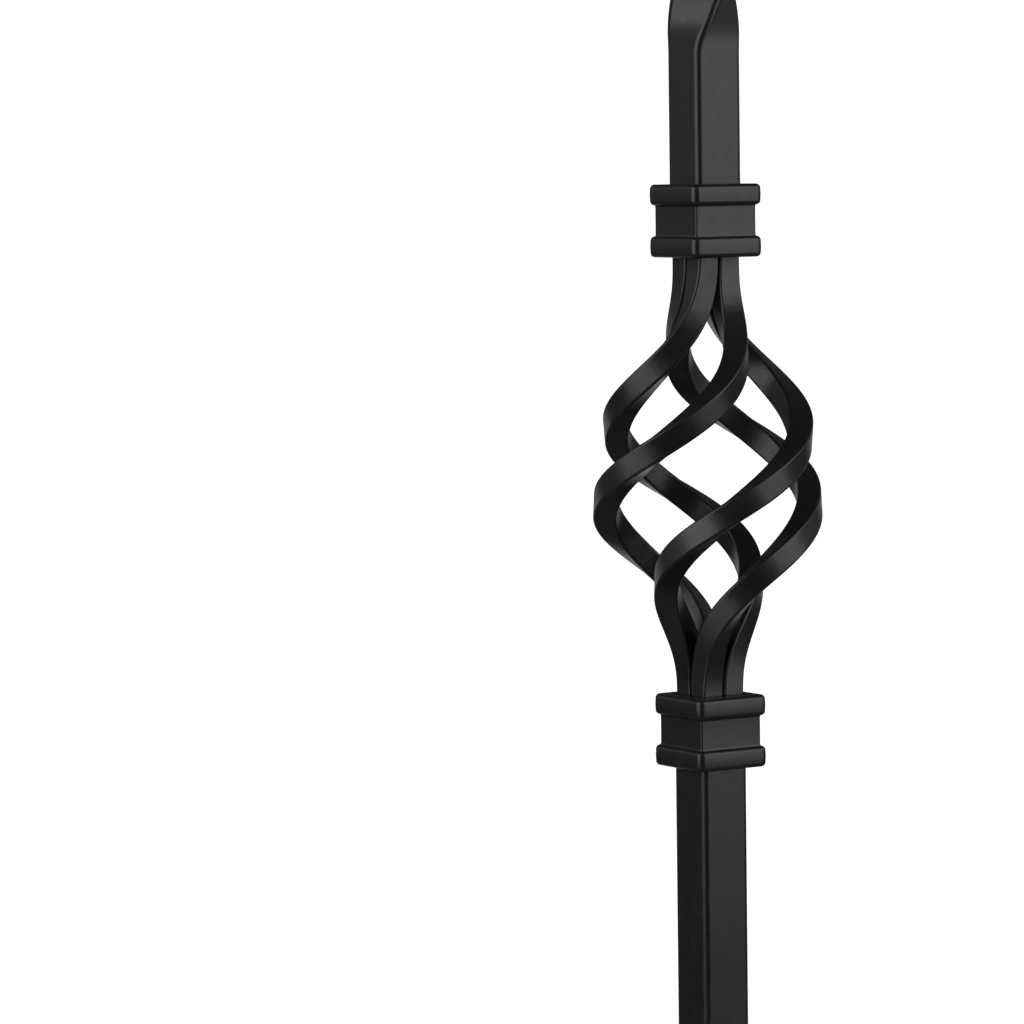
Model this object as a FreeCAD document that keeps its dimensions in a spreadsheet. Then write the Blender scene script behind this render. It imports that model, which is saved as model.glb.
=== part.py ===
"""Square iron stair baluster with two turned baskets, a twisted middle, four collars and a turned top dowel.

Millimetres and degrees. The foot's centre is the origin and the bar stands along +Z, its faces square to X and Y.
"""
import FreeCAD, Part
import math
import os
import Sketcher

doc = FreeCAD.newDocument("Baluster")

# Driving dimensions
sizes = (
    ("bar_side", 12.7, "square bar, across its flats"),
    ("bar_corner", 1.6, "rounded long edges of the bar"),
    ("foot_length", 424.0, "plain bar below the lower basket's bottom collar"),
    ("middle_length", 209.5, "bar in view between the two baskets"),
    ("head_length", 184.1, "square bar above the upper basket's top collar"),
    ("taper_length", 8.0, "turned cone between the square bar and the dowel"),
    ("dowel_length", 19.0, "round dowel at the top"),
    ("dowel_diameter", 11.5, "round dowel, across"),
    ("dowel_chamfer", 0.6, "broken edge at the dowel's tip"),
    ("twist_length", 150.0, "turned stretch of the middle bar, easing included"),
    ("twist_ease", 5.0, "stretch at each end over which the twist starts and stops"),
    ("twist_lead", 0.5, "share by which the twist starts faster than it goes on"),
    ("twist_turn", 360.0, "turn of the middle bar from its lower to its upper end"),
    ("basket_height", 102.5, "rods in view between the two collars of a basket"),
    ("basket_radius", 25.6, "axis to the middle of a rod at the widest place"),
    ("basket_turn", 270.0, "turn of a basket from its lower to its upper end"),
    ("rod_side", 5.6, "square basket rod, across its flats"),
    ("rod_edge", 0.6, "broken long edges of a basket rod"),
    ("rod_gap", 0.3, "gap between two rods of a bundle"),
    ("rod_roll", 90.0, "roll of a basket rod about its own line, from its lower to its upper end"),
    ("collar_height", 17.0, "collar, over both beads"),
    ("collar_clearance", 0.3, "gap between a collar's bore and the bar, each side"),
    ("band_side", 17.0, "square band between a collar's beads"),
    ("band_corner", 0.5, "upright edges of the band"),
    ("bead_height", 4.9, "bead at each end of a collar"),
    ("bead_side", 19.6, "square bead, across its flats"),
    ("bead_corner", 2.0, "upright edges of a bead"),
    ("bead_round", 1.2, "rounded outer rims of a bead"),
)
rods_per_basket = 4
bulge_power = 3
turn_power = 5
roll_power = 3
roll_reach = 0.8
rod_stations = 25
twist_stations = 47
bar_corner_facets = 3
rod_edge_facets = 1

sheet = doc.addObject("Spreadsheet::Sheet", "Sizes")
for row, (alias, number, note) in enumerate(sizes, start=1):
    sheet.set(f"A{row}", str(number))
    sheet.setAlias(f"A{row}", alias)
    sheet.set(f"B{row}", note)
doc.recompute()

# Heights of the pieces above the foot, added up from the sheet
half_collar = "Sizes.collar_height / 2"
lower_bottom_collar = "Sizes.foot_length"
lower_basket = f"{lower_bottom_collar} + Sizes.collar_height"
lower_top_collar = f"{lower_basket} + Sizes.basket_height"
middle = f"{lower_top_collar} + Sizes.collar_height"
upper_bottom_collar = f"{middle} + Sizes.middle_length"
upper_basket = f"{upper_bottom_collar} + Sizes.collar_height"
upper_top_collar = f"{upper_basket} + Sizes.basket_height"
head = f"{upper_top_collar} + Sizes.collar_height"

# Turn of each piece about the axis: it carries on from the top of the piece below
unturned = "0"
above_lower_basket = "Sizes.basket_turn"
above_twist = f"{above_lower_basket} + Sizes.twist_turn"
above_upper_basket = f"{above_twist} + Sizes.basket_turn"

up = FreeCAD.Vector(0, 0, 1)


def value(expression):
    """What an expression on the sheet's sizes comes to."""
    return float(sheet.evalExpression(expression))


def size(alias):
    return value(f"Sizes.{alias}")


def place(piece, height, turn):
    """Stands a piece on the axis, at a height and a turn that follow the sheet."""
    piece.Placement = FreeCAD.Placement(up * value(height), FreeCAD.Rotation(up, value(turn)))
    piece.setExpression("Placement.Base.z", height)


def new_body(label):
    body = doc.addObject("PartDesign::Body", label)
    body.Label = label
    return body


def new_sketch(body, name, role):
    """An empty sketch on one of the body's own origin planes."""
    sketch = body.newObject("Sketcher::SketchObject", name)
    base = next(item for item in body.Origin.OriginFeatures if item.Role == role)
    sketch.AttachmentSupport = [(base, "")]
    sketch.MapMode = "FlatFace"
    return sketch


def closed_outline(sketch, points):
    """Lines through the points, joined end to end."""
    corners = [FreeCAD.Vector(x, y, 0) for x, y in points]
    count = len(corners)
    lines = [sketch.addGeometry(Part.LineSegment(corners[i], corners[(i + 1) % count])) for i in range(count)]
    for i in range(count):
        sketch.addConstraint(Sketcher.Constraint("Coincident", lines[i], 2, lines[(i + 1) % count], 1))
    return lines


def square_sketch(body, name, side, height=None):
    """A square about the axis, on the body's base plane or at a height above it."""
    sketch = new_sketch(body, name, "XY_Plane")
    if height:
        sketch.setExpression("AttachmentOffset.Base.z", height)
    half = value(side) / 2
    lines = closed_outline(sketch, [(-half, -half), (half, -half), (half, half), (-half, half)])
    for i in (0, 2):
        sketch.addConstraint(Sketcher.Constraint("Horizontal", lines[i]))
        sketch.addConstraint(Sketcher.Constraint("Vertical", lines[i + 1]))
    sketch.addConstraint(Sketcher.Constraint("Equal", lines[0], lines[1]))
    sketch.addConstraint(Sketcher.Constraint("Symmetric", lines[0], 1, lines[2], 1, -1, 1))
    across = sketch.addConstraint(Sketcher.Constraint("DistanceX", lines[0], 1, lines[0], 2, 2 * half))
    sketch.setExpression(f"Constraints[{across}]", side)
    return sketch


def pad(body, name, sketch, length):
    feature = body.newObject("PartDesign::Pad", name)
    feature.Profile = sketch
    feature.setExpression("Length", length)
    doc.recompute()
    return feature


def round_edges(body, name, base, wanted, radius):
    """Rounds those edges of a feature that a test picks by their two ends."""
    names = []
    for number, edge in enumerate(base.Shape.Edges, start=1):
        ends = [vertex.Point for vertex in edge.Vertexes]
        if len(ends) == 2 and wanted(*ends):
            names.append(f"Edge{number}")
    feature = body.newObject("PartDesign::Fillet", name)
    feature.Base = (base, names)
    feature.setExpression("Radius", radius)
    doc.recompute()
    return feature


def close(a, b):
    return abs(a - b) < 1e-6


def upright(a, b):
    return close(a.x, b.x) and close(a.y, b.y)


def level(a, b):
    return close(a.z, b.z)


def square_bar(label, length):
    """A length of the square bar with rounded long edges, standing on its body's base plane."""
    body = new_body(label)
    blank = pad(body, f"{label}_blank", square_sketch(body, f"{label}_section", "Sizes.bar_side"), length)
    round_edges(body, f"{label}_long_edges", blank, upright, "Sizes.bar_corner")
    return body


def turn_dowel(body, shoulder):
    """Turns the bar's top end down to a cone and a round dowel, as on a lathe."""
    outside = "Sizes.bar_side / sqrt(2)"
    dowel = "Sizes.dowel_diameter / 2"
    cone_top = f"{shoulder} + Sizes.taper_length"
    tip = f"{cone_top} + Sizes.dowel_length"
    outline = (
        (outside, shoulder),
        (dowel, cone_top),
        (dowel, f"{tip} - Sizes.dowel_chamfer"),
        (f"{dowel} - Sizes.dowel_chamfer", tip),
        (outside, tip),
    )
    sketch = new_sketch(body, "dowel_outline", "XZ_Plane")
    lines = closed_outline(sketch, [(value(x), value(z)) for x, z in outline])
    for line, (x, z) in zip(lines, outline):
        across = sketch.addConstraint(Sketcher.Constraint("DistanceX", -1, 1, line, 1, value(x)))
        along = sketch.addConstraint(Sketcher.Constraint("DistanceY", -1, 1, line, 1, value(z)))
        sketch.setExpression(f"Constraints[{across}]", x)
        sketch.setExpression(f"Constraints[{along}]", z)
    groove = body.newObject("PartDesign::Groove", "dowel_turning")
    groove.Profile = sketch
    groove.ReferenceAxis = (sketch, ["V_Axis"])
    groove.Angle = 360
    doc.recompute()


def collar(label):
    """A square sleeve over the end of a bar: a band with a rounded bead at each end, and a square bore."""
    body = new_body(label)
    band_section = square_sketch(body, f"{label}_band_section", "Sizes.band_side")
    band = pad(body, f"{label}_band", band_section, "Sizes.collar_height")
    round_edges(body, f"{label}_band_edges", band, upright, "Sizes.band_corner")
    for end, height in (("lower", None), ("upper", "Sizes.collar_height - Sizes.bead_height")):
        bead_section = square_sketch(body, f"{label}_{end}_bead_section", "Sizes.bead_side", height)
        beads = pad(body, f"{label}_{end}_bead", bead_section, "Sizes.bead_height")
    bead_face = size("bead_side") / 2

    def on_bead(point):
        return close(max(abs(point.x), abs(point.y)), bead_face)

    def bead_upright(a, b):
        return upright(a, b) and on_bead(a)

    def bead_rim(a, b):
        return level(a, b) and on_bead(a) and on_bead(b)

    beads = round_edges(body, f"{label}_bead_corners", beads, bead_upright, "Sizes.bead_corner")
    round_edges(body, f"{label}_bead_rims", beads, bead_rim, "Sizes.bead_round")
    bore = body.newObject("PartDesign::Pocket", f"{label}_bore")
    bore.Profile = square_sketch(body, f"{label}_bore_section", "Sizes.bar_side + 2 * Sizes.collar_clearance")
    bore.Reversed = True
    bore.setExpression("Length", "Sizes.collar_height")
    doc.recompute()
    return body


def soft_square(side, corner, facets):
    """Outline of a square whose corners are rounded in a few facets, about its middle."""
    inner = side / 2 - corner
    outline = []
    for quarter in range(4):
        turn = FreeCAD.Rotation(up, 90 * quarter)
        for step in range(facets + 1):
            around = math.radians(90 * step / facets)
            corner_point = FreeCAD.Vector(inner + corner * math.cos(around), inner + corner * math.sin(around), 0)
            outline.append(turn.multVec(corner_point))
    return outline


def section(outline, centre, across, onward):
    """The outline as a wire in space, about a centre and along two directions."""
    points = [centre + across * point.x + onward * point.y for point in outline]
    return Part.makePolygon(points + points[:1])


def add_solid(label, shape):
    piece = doc.addObject("Part::Feature", label)
    piece.Label = label
    piece.Shape = shape
    return piece


def twist_share(along):
    """How much of the twist is done at a place along it: eased at both ends, and quicker at the lower one."""
    length = size("twist_length")
    ease = size("twist_ease")
    if along < ease:
        done = max(along, 0) ** 2 / (2 * ease)
    elif along > length - ease:
        done = length - ease - max(length - along, 0) ** 2 / (2 * ease)
    else:
        done = along - ease / 2
    even = done / (length - ease)
    return even * (1 + size("twist_lead") * (1 - even) ** 3)


def twisted_bar(label):
    """The middle bar: straight at its ends, and turned about its own axis in between."""
    length = size("middle_length") + size("collar_height")
    plain = (length - size("twist_length")) / 2
    outline = soft_square(size("bar_side"), size("bar_corner"), bar_corner_facets)
    wires = []
    for station in range(twist_stations):
        height = length * station / (twist_stations - 1)
        turn = size("twist_turn") * twist_share(height - plain)
        across = FreeCAD.Rotation(up, turn).multVec(FreeCAD.Vector(1, 0, 0))
        wires.append(section(outline, up * height, across, up.cross(across)))
    return add_solid(label, Part.makeLoft(wires, True))


def eased_share(t, power):
    """How much of a turn is done at t, which runs from -1 to 1: it starts and stops gently."""
    inside = max(-1, min(1, t))
    return (1 + (power * inside - inside ** power) / (power - 1)) / 2


def rod_place(t, first_angle):
    """A point on a rod's middle line and the way outwards there: t runs from -1 to 1 between the collars."""
    inside = max(-1, min(1, t))
    bundled = (size("rod_side") + size("rod_gap")) / math.sqrt(2)
    bulge = (1 - inside ** 2) ** bulge_power
    radius = bundled + (size("basket_radius") - bundled) * bulge
    angle = first_angle + size("basket_turn") * eased_share(t, turn_power)
    outwards = FreeCAD.Rotation(up, angle).multVec(FreeCAD.Vector(1, 0, 0))
    height = (size("basket_height") * (1 + t) + size("collar_height")) / 2
    return outwards * radius + up * height, outwards


def basket_rod(label, number):
    """One rod of a basket: it bulges and turns about the axis, and rolls about its own line on the way.

    A long edge points outwards in the bundles, and a flat side at the widest place.
    """
    first_angle = 45 + 360 * number / rods_per_basket
    outline = soft_square(size("rod_side"), size("rod_edge"), rod_edge_facets)
    reach = 1 + size("collar_height") / size("basket_height")
    step = 2 * reach / (rod_stations - 1)
    wires = []
    for station in range(rod_stations):
        t = station * step - reach
        centre, outwards = rod_place(t, first_angle)
        before, _ = rod_place(t - step / 100, first_angle)
        after, _ = rod_place(t + step / 100, first_angle)
        along = (after - before).normalize()
        rolled = size("rod_roll") * eased_share(t / roll_reach, roll_power)
        ridge = (outwards - along * outwards.dot(along)).normalize()
        ridge = FreeCAD.Rotation(along, rolled).multVec(ridge)
        side = along.cross(ridge)
        wires.append(section(outline, centre, (ridge - side).normalize(), (ridge + side).normalize()))
    return add_solid(label, Part.makeLoft(wires, True))


# Bars
bottom = square_bar("bottom_bar", f"Sizes.foot_length + {half_collar}")
place(bottom, "0", unturned)

twisted = twisted_bar("twisted_bar")
place(twisted, f"{middle} - {half_collar}", above_lower_basket)

shoulder = f"{half_collar} + Sizes.head_length"
top = square_bar("top_bar", f"{shoulder} + Sizes.taper_length + Sizes.dowel_length")
turn_dowel(top, shoulder)
place(top, f"{head} - {half_collar}", above_upper_basket)

pieces = [bottom, twisted, top]

# Basket rods, whose ends meet the ends of the bars halfway up the collars
for basket, height, turn in (
    ("lower_basket", lower_basket, unturned),
    ("upper_basket", upper_basket, above_twist),
):
    for number in range(rods_per_basket):
        rod = basket_rod(f"{basket}_rod_{number + 1}", number)
        place(rod, f"{height} - {half_collar}", turn)
        pieces.append(rod)

# Collars over the four welds
for label, height, turn in (
    ("lower_basket_bottom_collar", lower_bottom_collar, unturned),
    ("lower_basket_top_collar", lower_top_collar, above_lower_basket),
    ("upper_basket_bottom_collar", upper_bottom_collar, above_twist),
    ("upper_basket_top_collar", upper_top_collar, above_upper_basket),
):
    sleeve = collar(label)
    place(sleeve, height, turn)
    pieces.append(sleeve)

doc.recompute()
for item in doc.Objects:
    if "Invalid" in item.State or "Error" in item.State:
        raise RuntimeError(f"{item.Label} could not be built")
for piece in pieces:
    if piece.Shape.isNull() or not piece.Shape.isValid() or len(piece.Shape.Solids) != 1:
        raise RuntimeError(f"{piece.Label} is not one sound solid")

os.makedirs("parts", exist_ok=True)
for piece in pieces:
    piece.Shape.exportStep(f"parts/{piece.Label}.step")
    box = piece.Shape.BoundBox
    print(f"{piece.Label}: {piece.Shape.Volume:.0f} mm3, from {box.ZMin:.1f} to {box.ZMax:.1f} mm up")
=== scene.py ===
import math

import bmesh
import bpy
from mathutils import Matrix, Vector


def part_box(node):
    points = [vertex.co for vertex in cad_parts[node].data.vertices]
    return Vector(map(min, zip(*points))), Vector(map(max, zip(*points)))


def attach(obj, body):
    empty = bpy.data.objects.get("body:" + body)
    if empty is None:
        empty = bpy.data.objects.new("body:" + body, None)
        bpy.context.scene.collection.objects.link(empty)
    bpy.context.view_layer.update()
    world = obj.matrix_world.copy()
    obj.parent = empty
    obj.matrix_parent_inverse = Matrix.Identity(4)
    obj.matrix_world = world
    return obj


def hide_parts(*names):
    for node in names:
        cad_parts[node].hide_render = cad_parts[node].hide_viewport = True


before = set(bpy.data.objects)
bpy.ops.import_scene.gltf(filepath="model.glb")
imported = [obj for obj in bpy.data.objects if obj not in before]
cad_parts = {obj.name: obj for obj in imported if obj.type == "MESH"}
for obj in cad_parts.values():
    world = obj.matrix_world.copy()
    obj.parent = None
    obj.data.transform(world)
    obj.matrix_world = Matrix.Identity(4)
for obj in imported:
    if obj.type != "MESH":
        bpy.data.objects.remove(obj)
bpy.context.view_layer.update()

mm = 0.001
upAxis = Vector((0, 0, 1))
scene = bpy.context.scene
print("loaded", len(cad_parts), "pieces")


# black coating

coating = {  # a noise has its scale per metre, then its detail
    "colour": (0.0110, 0.0106, 0.0106, 1),
    "fadedColour": (0.0160, 0.0155, 0.0153, 1),
    "fadeNoise": (55, 3),  # slow drift of the colour
    "roughness": (0.27, 0.34),
    "roughnessNoise": (420, 2),
    "roughnessSpan": (0.3, 0.7),  # values of that noise between which the roughness runs
    "peelNoise": (950, 1),  # orange peel of the baked powder, about a millimetre apart
    "peelHeight": 0.008 * mm,
    "grainNoise": (4200, 1),  # fine grain of the powder itself
    "grainHeight": 0.001 * mm,
}


def setRange(mapRange, span, result):
    for name, end in zip(("From Min", "From Max", "To Min", "To Max"), span + result):
        mapRange.inputs[name].default_value = end


def makeCoating():
    material = bpy.data.materials.new("satinBlackCoating")
    material.use_nodes = True
    nodes = material.node_tree.nodes
    links = material.node_tree.links
    shader = nodes["Principled BSDF"]
    where = nodes.new("ShaderNodeTexCoord").outputs["Object"]

    def noise(scale, detail):
        made = nodes.new("ShaderNodeTexNoise")
        made.inputs["Scale"].default_value = scale
        made.inputs["Detail"].default_value = detail
        links.new(where, made.inputs["Vector"])
        return made.outputs["Fac"]

    tone = nodes.new("ShaderNodeMix")
    tone.data_type = "RGBA"
    links.new(noise(*coating["fadeNoise"]), tone.inputs["Factor"])
    tone.inputs["A"].default_value = coating["colour"]
    tone.inputs["B"].default_value = coating["fadedColour"]
    links.new(tone.outputs["Result"], shader.inputs["Base Color"])

    sheen = nodes.new("ShaderNodeMapRange")
    setRange(sheen, coating["roughnessSpan"], coating["roughness"])
    links.new(noise(*coating["roughnessNoise"]), sheen.inputs["Value"])
    links.new(sheen.outputs["Result"], shader.inputs["Roughness"])

    surface = None
    for layer in ("peel", "grain"):
        bump = nodes.new("ShaderNodeBump")
        bump.inputs["Distance"].default_value = coating[layer + "Height"]
        links.new(noise(*coating[layer + "Noise"]), bump.inputs["Height"])
        if surface:
            links.new(surface, bump.inputs["Normal"])
        surface = bump.outputs["Normal"]
    links.new(surface, shader.inputs["Normal"])
    return material


blackCoating = makeCoating()
print("coating made")


# making a piece

finishing = {"sharpAngle": math.radians(40), "mergeDistance": 0.01 * mm}


def newVerts(made):
    return [item for item in made["geom"] if isinstance(item, bmesh.types.BMVert)]


def newEdges(made):
    return [item for item in made["geom"] if isinstance(item, bmesh.types.BMEdge)]


def roundOff(bm, corners, size, steps, affect):
    bmesh.ops.bevel(bm, geom=corners, offset=size, offset_type="OFFSET", segments=steps,
                    profile=0.5, affect=affect, material=-1)


def mergeDoubles(bm):
    bmesh.ops.remove_doubles(bm, verts=bm.verts, dist=finishing["mergeDistance"])


def drawLine(bm, outline, y=0.0):  # the outline's points are given as x and z
    points = [bm.verts.new((x, y, z)) for x, z in outline]
    for pair in zip(points, points[1:]):
        bm.edges.new(pair)
    return points


def spinLine(bm, steps):  # takes what is drawn once round the upright axis
    bmesh.ops.spin(bm, geom=bm.verts[:] + bm.edges[:], cent=(0, 0, 0), axis=(0, 0, 1), angle=math.tau,
                   steps=steps, use_merge=True, use_duplicate=False)
    mergeDoubles(bm)
    bmesh.ops.recalc_face_normals(bm, faces=bm.faces)


def squareOutline(bm, side, edge, steps):
    bmesh.ops.create_circle(bm, cap_ends=True, segments=4, radius=side / math.sqrt(2))
    bmesh.ops.rotate(bm, verts=bm.verts, cent=(0, 0, 0), matrix=Matrix.Rotation(math.radians(45), 3, "Z"))
    roundOff(bm, bm.verts[:], edge, steps, "VERTICES")


def pullOutline(bm, places):  # draws the flat outline from place to place and closes both ends
    bmesh.ops.transform(bm, matrix=places[0], verts=bm.verts)
    rim = bm.edges[:]
    for before, after in zip(places, places[1:]):
        made = bmesh.ops.extrude_edge_only(bm, edges=rim)
        bmesh.ops.transform(bm, matrix=after @ before.inverted(), verts=newVerts(made))
        rim = [edge for edge in newEdges(made) if edge.is_boundary]
    bmesh.ops.edgeloop_fill(bm, edges=rim)


def placeMesh(bm, name):
    mesh = bpy.data.meshes.new(name)
    bm.to_mesh(mesh)
    bm.free()
    made = bpy.data.objects.new(name, mesh)
    scene.collection.objects.link(made)
    return made


def keepFacesFlat(piece):  # the wide faces, beside their rounded edges
    normals = piece.modifiers.new("flatFaces", "WEIGHTED_NORMAL")
    normals.keep_sharp = True


def finishPiece(bm, name, node):
    bmesh.ops.recalc_face_normals(bm, faces=bm.faces)
    piece = placeMesh(bm, name)
    piece.data.shade_smooth()
    piece.data.set_sharp_from_angle(angle=finishing["sharpAngle"])
    piece.data.materials.append(blackCoating)
    keepFacesFlat(piece)
    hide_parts(node)
    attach(piece, "root")
    return piece


# plain bars

bar = {"edge": 1.6 * mm, "edgeSteps": 8, "footEdge": 0.35 * mm, "footSteps": 3}
barLow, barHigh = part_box("bottom_bar")
barSide = barHigh.x - barLow.x


def barAt(height, turn=0.0):
    return Matrix.Translation(upAxis * height) @ Matrix.Rotation(turn, 4, "Z")


def pullBar(places):
    bm = bmesh.new()
    squareOutline(bm, barSide, bar["edge"], bar["edgeSteps"])
    pullOutline(bm, places)
    return bm


def makeBottomBar():
    bm = pullBar([barAt(barLow.z), barAt(barHigh.z)])
    footTop = barLow.z + bar["footEdge"]
    foot = [edge for edge in bm.edges if all(vert.co.z < footTop for vert in edge.verts)]
    roundOff(bm, foot, bar["footEdge"], bar["footSteps"], "EDGES")
    finishPiece(bm, "bottomBar", "bottom_bar")


dowel = {
    "radius": 5.75 * mm,
    "length": 19.0 * mm,
    "taper": 8.0 * mm,
    "tipEdge": 0.6 * mm,
    "roundSteps": 100,
    "sharpAngle": math.radians(20),
    "clearance": 1.0 * mm,  # the lathe's shape starts below the bar and narrows below the cone
}


def makeLathe(low, high):  # the round shape that the bar's end is turned to
    coneTop = high.z - dowel["length"]
    shoulder = coneTop - dowel["taper"]
    corner = barSide / math.sqrt(2)
    wide = 2 * corner
    tip = dowel["radius"] - dowel["tipEdge"]
    foot = low.z - dowel["clearance"]
    outline = [(0, foot), (wide, foot), (wide, shoulder - dowel["clearance"]), (corner, shoulder),
               (dowel["radius"], coneTop), (dowel["radius"], high.z - dowel["tipEdge"]),
               (tip, high.z), (0, high.z)]
    bm = bmesh.new()
    drawLine(bm, outline)
    spinLine(bm, dowel["roundSteps"])
    return placeMesh(bm, "lathe")


def makeTopBar():
    low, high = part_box("top_bar")
    piece = finishPiece(pullBar([barAt(low.z), barAt(high.z)]), "topBar", "top_bar")
    lathe = makeLathe(low, high)
    cut = piece.modifiers.new("turning", "BOOLEAN")
    cut.operation = "INTERSECT"
    cut.solver = "EXACT"
    cut.object = lathe
    piece.modifiers.move(1, 0)
    bpy.context.view_layer.update()
    shape = bpy.data.meshes.new_from_object(piece.evaluated_get(bpy.context.evaluated_depsgraph_get()))
    piece.modifiers.clear()
    piece.data = shape
    shape.set_sharp_from_angle(angle=dowel["sharpAngle"])
    keepFacesFlat(piece)
    bpy.data.objects.remove(lathe)


makeBottomBar()
makeTopBar()
print("plain bars made")


# twisted bar

twist = {
    "turn": math.radians(360),
    "length": 150.0 * mm,
    "ease": 5.0 * mm,  # speeds up and slows down over this much at each end
    "lead": 0.5,  # starts faster by this share
    "leadPower": 3,  # the higher it is, the sooner the lead fades
    "step": 1.0 * mm,
    "startTurn": math.radians(270),
}


def twistShare(along):
    length = twist["length"]
    ease = twist["ease"]
    if along < ease:
        done = max(along, 0) ** 2 / (2 * ease)
    elif along > length - ease:
        done = length - ease - max(length - along, 0) ** 2 / (2 * ease)
    else:
        done = along - ease / 2
    even = done / (length - ease)
    return even * (1 + twist["lead"] * (1 - even) ** twist["leadPower"])


def makeTwistedBar():
    low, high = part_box("twisted_bar")
    plain = (high.z - low.z - twist["length"]) / 2
    steps = round(twist["length"] / twist["step"])
    heights = [low.z] + [low.z + plain + twist["length"] * i / steps for i in range(steps + 1)] + [high.z]
    places = [barAt(z, twist["startTurn"] + twist["turn"] * twistShare(z - low.z - plain)) for z in heights]
    finishPiece(pullBar(places), "twistedBar", "twisted_bar")


makeTwistedBar()
print("twisted bar made")


# basket rods

basket = {
    "side": 5.6 * mm,
    "edge": 0.6 * mm,
    "edgeSteps": 5,
    "gap": 0.3 * mm,  # between two rods where they are bundled
    "radius": 25.6 * mm,  # axis to the middle of a rod at the widest place
    "firstAngle": math.radians(45),  # the bundled rods lie towards the bar's corners
    "turn": math.radians(270),
    "roll": math.radians(90),  # of a rod about its own line, from end to end
    "bulgePower": 3,
    "turnPower": 5,
    "rollPower": 3,
    "rollReach": 0.8,  # the rods roll within this share of the height
    "rods": 4,
    "steps": 160,
    "nudge": 0.01,  # share of a step, up and down, that gives the way a rod runs
}


def easedShare(t, power):  # t runs from -1 to 1
    inside = max(-1, min(1, t))
    return (1 + (power * inside - inside ** power) / (power - 1)) / 2


def rodCentre(t, startAngle, low, high, collarHeight):  # t is -1 and 1 at the two collars
    inside = max(-1, min(1, t))
    bundled = (basket["side"] + basket["gap"]) / math.sqrt(2)
    radius = bundled + (basket["radius"] - bundled) * (1 - inside ** 2) ** basket["bulgePower"]
    angle = startAngle + basket["turn"] * easedShare(t, basket["turnPower"])
    outwards = Vector((math.cos(angle), math.sin(angle), 0))
    middle = (low + high) / 2
    reach = (high - low - collarHeight) / 2
    return outwards * radius + upAxis * (middle + reach * t), outwards


def rodPlace(t, step, *rod):
    nudge = step * basket["nudge"]
    centre, outwards = rodCentre(t, *rod)
    before, _ = rodCentre(t - nudge, *rod)
    after, _ = rodCentre(t + nudge, *rod)
    along = (after - before).normalized()
    ridge = (outwards - along * outwards.dot(along)).normalized()  # a long edge points outwards at the ends
    rolled = basket["roll"] * easedShare(t / basket["rollReach"], basket["rollPower"])
    ridge.rotate(Matrix.Rotation(rolled, 3, along))
    side = along.cross(ridge)
    across = (ridge - side).normalized()
    onward = (ridge + side).normalized()
    return Matrix.Translation(centre) @ Matrix((across, onward, along)).transposed().to_4x4()


def makeBasket(node, piece, startTurn):
    collarLow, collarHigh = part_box(f"{node}_bottom_collar")
    collarHeight = collarHigh.z - collarLow.z
    for number in range(basket["rods"]):
        rodNode = f"{node}_rod_{number + 1}"
        low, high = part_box(rodNode)
        startAngle = startTurn + basket["firstAngle"] + math.tau * number / basket["rods"]
        rod = (startAngle, low.z, high.z, collarHeight)
        reach = (high.z - low.z) / (high.z - low.z - collarHeight)
        step = 2 * reach / basket["steps"]
        bm = bmesh.new()
        squareOutline(bm, basket["side"], basket["edge"], basket["edgeSteps"])
        pullOutline(bm, [rodPlace(i * step - reach, step, *rod) for i in range(basket["steps"] + 1)])
        finishPiece(bm, f"{piece}Rod{number + 1}", rodNode)


makeBasket("lower_basket", "lowerBasket", 0.0)
makeBasket("upper_basket", "upperBasket", basket["turn"] + twist["turn"])
print("basket rods made")


# collars

collar = {
    "bandSide": 17.0 * mm,
    "bandCorner": 0.5 * mm,
    "beadSide": 19.6 * mm,
    "beadHeight": 4.9 * mm,
    "beadCrown": 0.12 * mm,  # a bead's face stands out this much in the middle
    "beadRound": 1.0 * mm,
    "flare": 0.12 * mm,  # the band widens this much where the coating fills its foot
    "flareHeight": 0.45 * mm,
    "roundSteps": 7,
    "cornerSteps": 9,
    "bore": 13.3 * mm,
    "endLip": 0.3 * mm,  # flat stretch of an end face outside the corner's turning point
}


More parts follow.
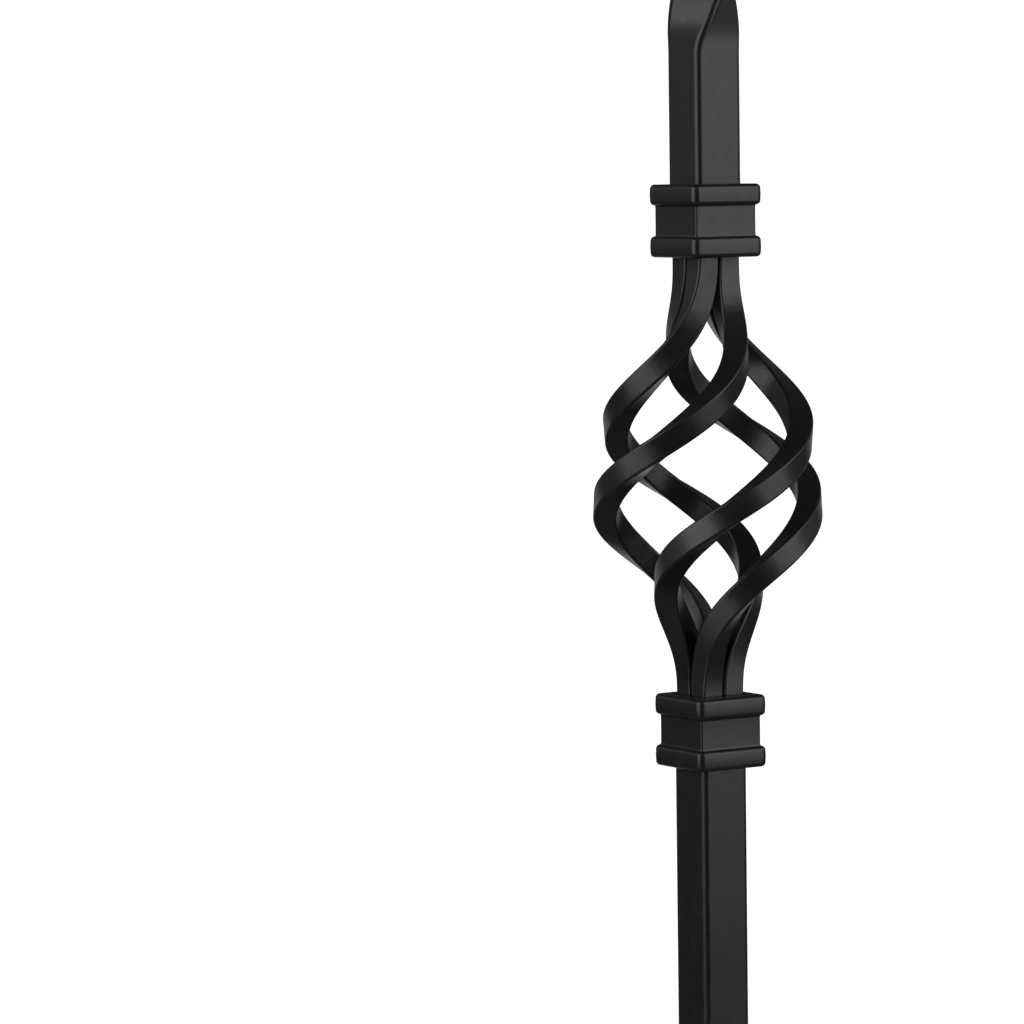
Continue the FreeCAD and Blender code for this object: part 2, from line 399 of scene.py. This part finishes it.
def makeCollar(node, piece):
    low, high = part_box(node)
    pivot = collar["bandSide"] / 2 - collar["bandCorner"]
    bead = collar["beadSide"] / 2
    rim = bead - collar["beadCrown"]
    band = collar["bandSide"] / 2
    lip = pivot + collar["endLip"]
    ledge = collar["beadHeight"]
    bm = bmesh.new()
    lower = [(lip, 0), (rim, 0), (bead, ledge / 2), (rim, ledge), (band + collar["flare"], ledge),
             (band, ledge + collar["flareHeight"])]
    outline = [(x, low.z + z) for x, z in lower] + [(x, high.z - z) for x, z in reversed(lower)]
    points = drawLine(bm, outline, -pivot)
    rims = [point for point in points if abs(point.co.x - rim) < finishing["mergeDistance"]]
    roundOff(bm, rims, collar["beadRound"], collar["roundSteps"], "VERTICES")
    section = bm.edges[:]
    for quarter in range(4):  # along a side, then round its corner
        turn = Matrix.Rotation(math.radians(90 * quarter), 3, "Z")
        made = bmesh.ops.extrude_edge_only(bm, edges=section)
        moved = newVerts(made)
        bmesh.ops.translate(bm, vec=turn @ Vector((0, 2 * pivot, 0)), verts=moved)
        section = [edge for edge in newEdges(made) if all(vert in moved for vert in edge.verts)]
        made = bmesh.ops.spin(bm, geom=section, cent=turn @ Vector((pivot, pivot, 0)), axis=(0, 0, 1),
                              angle=math.radians(90), steps=collar["cornerSteps"], use_merge=False,
                              use_duplicate=False)
        section = [item for item in made["geom_last"] if isinstance(item, bmesh.types.BMEdge)]
    mergeDoubles(bm)

    def endLoop(height):
        openEdges = [edge for edge in bm.edges if edge.is_boundary]
        return [edge for edge in openEdges if abs(edge.verts[0].co.z - height) < finishing["mergeDistance"]]

    mouth = collar["bore"] / 2 / lip
    for height in (low.z, high.z):  # both end faces, in to the bore
        made = bmesh.ops.extrude_edge_only(bm, edges=endLoop(height))
        bmesh.ops.scale(bm, vec=(mouth, mouth, 1), verts=newVerts(made))
    made = bmesh.ops.extrude_edge_only(bm, edges=endLoop(high.z))  # the bore, down to the lower face
    bmesh.ops.translate(bm, vec=(0, 0, low.z - high.z), verts=newVerts(made))
    mergeDoubles(bm)
    finishPiece(bm, piece, node)


for basketNode, basketPiece in (("lower_basket", "lowerBasket"), ("upper_basket", "upperBasket")):
    for end in ("bottom", "top"):
        makeCollar(f"{basketNode}_{end}_collar", f"{basketPiece}{end.capitalize()}Collar")
print("collars made")


# floor and backdrop in one sweep

studio = {
    "floorRadius": 7.0,
    "bendRadius": 3.0,
    "wallHeight": 9.0,
    "bendSteps": 16,
    "roundSteps": 96,
    "colour": (0.9, 0.9, 0.9, 1),
    "roughness": 0.9,
    "specular": 0.0,
    "glowColour": (1, 1, 1, 1),
    "glow": (0.55, 1.0),  # near the foot and far away: lifts the backdrop to an even white
    "glowRange": (0.3, 1.3),
}


def makePaper():
    paper = bpy.data.materials.new("palePaper")
    paper.use_nodes = True
    nodes = paper.node_tree.nodes
    links = paper.node_tree.links
    shader = nodes["Principled BSDF"]
    shader.inputs["Base Color"].default_value = studio["colour"]
    shader.inputs["Roughness"].default_value = studio["roughness"]
    shader.inputs["Specular IOR Level"].default_value = studio["specular"]
    shader.inputs["Emission Color"].default_value = studio["glowColour"]
    away = nodes.new("ShaderNodeVectorMath")
    away.operation = "LENGTH"
    links.new(nodes.new("ShaderNodeTexCoord").outputs["Object"], away.inputs[0])
    glow = nodes.new("ShaderNodeMapRange")
    glow.interpolation_type = "SMOOTHSTEP"
    setRange(glow, studio["glowRange"], studio["glow"])
    links.new(away.outputs["Value"], glow.inputs["Value"])
    links.new(glow.outputs["Result"], shader.inputs["Emission Strength"])
    paper.cycles.emission_sampling = "NONE"
    return paper


def makeStudio():
    bm = bmesh.new()
    wall = studio["floorRadius"] + studio["bendRadius"]
    points = drawLine(bm, [(0, 0), (wall, 0), (wall, studio["wallHeight"])])
    roundOff(bm, [points[1]], studio["bendRadius"], studio["bendSteps"], "VERTICES")
    spinLine(bm, studio["roundSteps"])
    floor = placeMesh(bm, "studioFloor")
    floor.data.shade_smooth()
    floor.data.materials.append(makePaper())
    floor.visible_glossy = False  # the black coating mirrors the lamps and the dim room instead
    floor.visible_diffuse = False
    floor.visible_shadow = False


makeStudio()
print("studio made")


# lights, each at an azimuth round the baluster: 0 is on -Y, 90 on +X

lights = {
    "rightSoftbox": {"azimuth": 28, "distance": 1.5, "height": 0.91, "size": (1.3, 1.50), "power": 7.8,
                     "colour": (1.0, 1.0, 1.02)},
    "leftSoftbox": {"azimuth": -88, "distance": 1.4, "height": 0.82, "size": (1.2, 1.24), "power": 7.9,
                    "colour": (1.0, 0.95, 0.95)},
}
aimHeight = 0.7

openSide = -30  # azimuth of the dim gap in the front walls, near the camera's
room = {  # two sets of glowing walls: brightness by height, and by how far they face the open side
    "frontWalls": {
        "height": [(-1.0, 0.2), (-0.5, 0.15), (-0.3, 0.02), (-0.16, 0.05), (0.06, 0.64),
                   (0.3, 0.95), (0.5, 0.45), (0.68, 0.12), (1.0, 0.06)],
        "facing": [(-1.0, 0.03), (-0.9, 0.05), (-0.7, 0.18), (-0.42, 0.46), (0.1, 0.75),
                   (0.72, 0.8), (0.93, 0.1), (1.0, 0.03)],
    },
    "rearWalls": {
        "height": [(-1.0, 0.06), (-0.6, 0.2), (-0.42, 0.6), (-0.22, 0.6),
                   (-0.04, 0.3), (0.06, 0.02), (1.0, 0.01)],
        "facing": [(-1.0, 1.0), (-0.88, 1.0), (-0.7, 0.1), (-0.6, 0.0), (1.0, 0.0)],
    },
}


def towards(azimuth):
    angle = math.radians(azimuth)
    return Vector((math.sin(angle), -math.cos(angle), 0))


def makeLights():
    for name, setting in lights.items():
        lamp = bpy.data.lights.new(name, "AREA")
        lamp.shape = "RECTANGLE"
        lamp.size, lamp.size_y = setting["size"]
        lamp.energy = setting["power"]
        lamp.color = setting["colour"]
        holder = bpy.data.objects.new(name, lamp)
        place = towards(setting["azimuth"]) * setting["distance"] + upAxis * setting["height"]
        aim = upAxis * aimHeight - place
        holder.matrix_world = Matrix.Translation(place) @ aim.to_track_quat("-Z", "Y").to_matrix().to_4x4()
        holder.visible_camera = False
        scene.collection.objects.link(holder)


def makeRoom():
    world = bpy.data.worlds.new("studioRoom")
    world.use_nodes = True
    nodes = world.node_tree.nodes
    links = world.node_tree.links
    direction = nodes.new("ShaderNodeTexCoord").outputs["Generated"]
    split = nodes.new("ShaderNodeSeparateXYZ")
    links.new(direction, split.inputs["Vector"])
    facing = nodes.new("ShaderNodeVectorMath")
    facing.operation = "DOT_PRODUCT"
    facing.inputs[1].default_value = towards(openSide)
    links.new(direction, facing.inputs[0])

    def glowAlong(value, stops):  # brightness by a value from -1 to 1
        share = nodes.new("ShaderNodeMapRange")
        setRange(share, (-1, 1), (0, 1))
        links.new(value, share.inputs["Value"])
        ramp = nodes.new("ShaderNodeValToRGB")
        ramp.color_ramp.interpolation = "EASE"
        for at, _ in stops[1:-1]:
            ramp.color_ramp.elements.new((at + 1) / 2)
        for stop, (_, glow) in zip(ramp.color_ramp.elements, stops):
            stop.color = (glow, glow, glow, 1)
        links.new(share.outputs["Result"], ramp.inputs["Fac"])
        return ramp.outputs["Color"]

    both = nodes.new("ShaderNodeAddShader")
    for walls, slot in zip(room.values(), both.inputs):
        glow = nodes.new("ShaderNodeBackground")
        links.new(glowAlong(split.outputs["Z"], walls["height"]), glow.inputs["Color"])
        links.new(glowAlong(facing.outputs["Value"], walls["facing"]), glow.inputs["Strength"])
        links.new(glow.outputs["Background"], slot)
    links.new(both.outputs["Shader"], nodes["World Output"].inputs["Surface"])
    scene.world = world
    scene.view_settings.view_transform = "Standard"


makeLights()
makeRoom()
print("lights made")


# camera, close on the lower basket

camera = {
    "azimuth": -35,
    "distance": 1.077,
    "eyeHeight": 0.5686,
    "lens": 162,
    "sensor": 36,
    "aimSide": -0.0460,  # aims to the left of the axis, so the baluster stands right of the middle
    "aimHeight": 0.4843,
    "roll": math.radians(-0.77),
}


def makeCamera():
    lens = bpy.data.cameras.new("camera")
    lens.lens = camera["lens"]
    lens.sensor_width = camera["sensor"]
    holder = bpy.data.objects.new("camera", lens)
    back = towards(camera["azimuth"])
    right = upAxis.cross(back)
    place = back * camera["distance"] + upAxis * camera["eyeHeight"]
    aim = right * camera["aimSide"] + upAxis * camera["aimHeight"] - place
    look = aim.to_track_quat("-Z", "Y").to_matrix().to_4x4()
    holder.matrix_world = Matrix.Translation(place) @ look @ Matrix.Rotation(camera["roll"], 4, "Z")
    scene.collection.objects.link(holder)
    scene.camera = holder


makeCamera()
print("camera placed")
